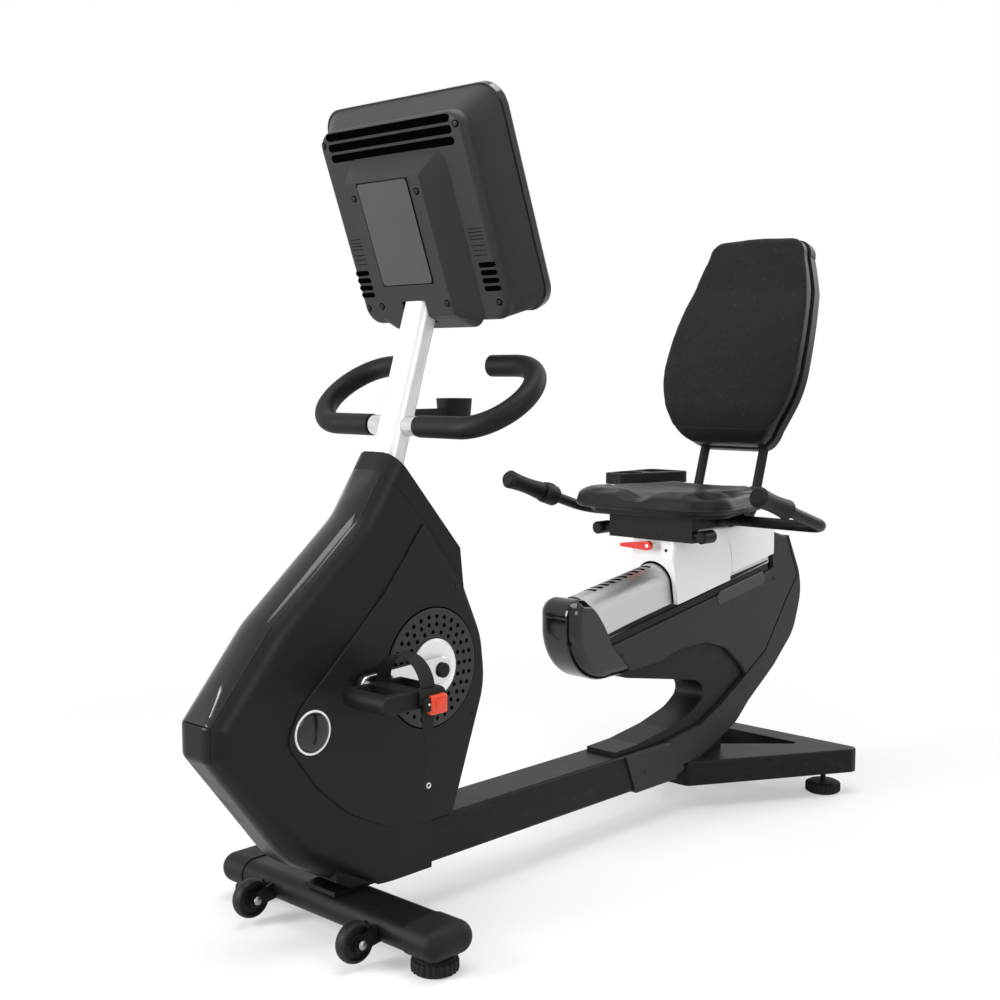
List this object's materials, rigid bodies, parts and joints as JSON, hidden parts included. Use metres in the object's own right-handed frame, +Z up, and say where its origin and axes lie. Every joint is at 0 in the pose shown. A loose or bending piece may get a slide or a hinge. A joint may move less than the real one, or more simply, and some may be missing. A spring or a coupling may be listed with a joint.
{
  "type": "exercise bike",
  "caption": "Recumbent exercise bike with an inclined sliding seat on a rail, enclosed crank drive, strapped pedals, looped handlebar, console on a mast and side handles.",
  "frame": {"origin": "on the floor below the middle of the bike's bounding box", "axes": "+X the way the rider faces, towards the console and transport wheels; +Y the rider's left; +Z up"},
  "size_m": [1.7176, 0.7089, 1.456],
  "materials": {
    "back_cloth": "matte",
    "bare_steel": "brushed",
    "black_cover": "satin",
    "black_plastic": "satin",
    "black_rubber": "matte",
    "black_steel": "satin",
    "black_vinyl": "satin",
    "bright_steel": "polished",
    "copper_coil": "satin",
    "foam_grip": "matte",
    "gloss_black": "gloss",
    "grey_cover": "satin",
    "iron": "matte",
    "rail_alloy": "brushed",
    "red_plastic": "satin",
    "screen_glass": "gloss",
    "silver_mast": "satin",
    "tread": "matte",
    "white_cover": "gloss"
  },
  "bodies": {
    "frame": {"accessory_cup": "black_plastic", "console_bezel": "gloss_black", "console_hatch": "grey_cover", "console_housing": "grey_cover", "console_screen": "screen_glass", "control_board": "black_plastic", "crank_bearings": "bare_steel", "crank_guards": "grey_cover", "drive_belt": "black_rubber", "drive_frame": "black_steel", "front_spine": "gloss_black", "front_stabiliser": "black_steel", "generator_stator": "copper_coil", "handlebar": "bright_steel", "handlebar_grips": "foam_grip", "main_beam": "black_steel", "mast": "silver_mast", "nose_bumper": "black_cover", "rail_channel": "black_plastic", "rear_base": "black_steel", "rear_column": "black_steel", "rear_cover_spine": "grey_cover", "rear_nose_cap": "gloss_black", "rear_side_covers": "grey_cover", "seat_rail": "rail_alloy", "shroud_collar": "black_cover", "shroud_left": "black_cover", "shroud_right": "black_cover", "side_panels": "black_cover", "stabiliser_end_caps": "black_plastic"},
    "crank": {"crank_axle": "bare_steel", "crank_arms": "bright_steel", "crank_hub_discs": "white_cover", "drive_pulley": "black_plastic"},
    "left_pedal": {"pedal_left": "black_plastic", "pedal_strap_left": "black_rubber"},
    "right_pedal": {"pedal_right": "black_plastic", "pedal_strap_right": "black_rubber"},
    "brake_wheel": {"flywheel": "iron"},
    "idler": {"belt_idler": "bare_steel"},
    "left_wheel": {"transport_wheel_left": "tread"},
    "right_wheel": {"transport_wheel_right": "tread"},
    "front_left_foot": {"foot_front_left": "black_rubber"},
    "front_right_foot": {"foot_front_right": "black_rubber"},
    "rear_left_foot": {"foot_rear_left": "black_rubber"},
    "rear_right_foot": {"foot_rear_right": "black_rubber"},
    "seat": {"seat_carriage": "white_cover", "seat_crossbar": "black_steel", "seat_frame": "black_steel", "side_grips": "foam_grip", "seat_pan": "black_plastic", "seat_cushion": "black_vinyl", "backrest_pad": "back_cloth", "backrest_shell": "black_vinyl", "control_pod": "black_plastic", "seat_tray": "black_plastic"},
    "front_roller": {"roller_front": "black_plastic"},
    "rear_roller": {"roller_rear": "black_plastic"},
    "button": {"pod_button": "black_plastic"},
    "lever": {"seat_lever": "red_plastic"}
  },
  "joints": [
    {"name": "crank_spin", "type": "hinge", "parent": "frame", "child": "crank", "pos_m": [0.401, 0, 0.45], "axis": [0, 1, 0], "continuous": true},
    {"name": "left_pedal_spin", "type": "hinge", "parent": "crank", "child": "left_pedal", "pos_m": [0.573, 0.15, 0.45], "axis": [0, 1, 0], "continuous": true},
    {"name": "right_pedal_spin", "type": "hinge", "parent": "crank", "child": "right_pedal", "pos_m": [0.229, -0.15, 0.45], "axis": [0, 1, 0], "continuous": true},
    {"name": "brake_spin", "type": "hinge", "parent": "frame", "child": "brake_wheel", "pos_m": [0.64, 0, 0.33], "axis": [0, 1, 0], "continuous": true},
    {"name": "idler_spin", "type": "hinge", "parent": "frame", "child": "idler", "pos_m": [0.53405, -0.036, 0.29887], "axis": [0, 1, 0], "continuous": true},
    {"name": "left_wheel_spin", "type": "hinge", "parent": "frame", "child": "left_wheel", "pos_m": [0.656, 0.14, 0.046], "axis": [0, 1, 0], "continuous": true},
    {"name": "right_wheel_spin", "type": "hinge", "parent": "frame", "child": "right_wheel", "pos_m": [0.656, -0.14, 0.046], "axis": [0, 1, 0], "continuous": true},
    {"name": "front_left_foot_turn", "type": "hinge", "parent": "frame", "child": "front_left_foot", "pos_m": [0.569, 0.239, 0.02], "axis": [0, 0, 1], "continuous": true},
    {"name": "front_right_foot_turn", "type": "hinge", "parent": "frame", "child": "front_right_foot", "pos_m": [0.569, -0.239, 0.02], "axis": [0, 0, 1], "continuous": true},
    {"name": "rear_left_foot_turn", "type": "hinge", "parent": "frame", "child": "rear_left_foot", "pos_m": [-0.735, 0.19, 0.02], "axis": [0, 0, 1], "continuous": true},
    {"name": "rear_right_foot_turn", "type": "hinge", "parent": "frame", "child": "rear_right_foot", "pos_m": [-0.735, -0.19, 0.02], "axis": [0, 0, 1], "continuous": true},
    {"name": "seat_slide", "type": "slide", "parent": "frame", "child": "seat", "axis": [0.9869, 0, -0.1616], "range_m": [0, 0.225]},
    {"name": "front_roller_spin", "type": "hinge", "parent": "seat", "child": "front_roller", "pos_m": [-0.38367, 0, 0.58247], "axis": [0, 1, 0], "continuous": true},
    {"name": "rear_roller_spin", "type": "hinge", "parent": "seat", "child": "rear_roller", "pos_m": [-0.52183, 0, 0.60509], "axis": [0, 1, 0], "continuous": true},
    {"name": "button_press", "type": "slide", "parent": "seat", "child": "button", "axis": [0.299, 0, -0.9542], "range_m": [0, 0.002], "stiffness_N_per_m": 800, "springref_m": -0.0005},
    {"name": "lever_lift", "type": "hinge", "parent": "seat", "child": "lever", "pos_m": [-0.3, 0.004, 0.6], "axis": [1, 0, 0], "range_deg": [-18, 0], "stiffness_Nm_per_rad": 0.6, "springref_deg": 5.73}
  ],
  "couplings": [
    {"joint": "brake_spin", "follows": "crank_spin", "ratio": 4.6214},
    {"joint": "idler_spin", "follows": "crank_spin", "ratio": -6.2459},
    {"joint": "front_roller_spin", "follows": "seat_slide", "rad_per_m": 81.301},
    {"joint": "rear_roller_spin", "follows": "seat_slide", "rad_per_m": 81.301}
  ]
}
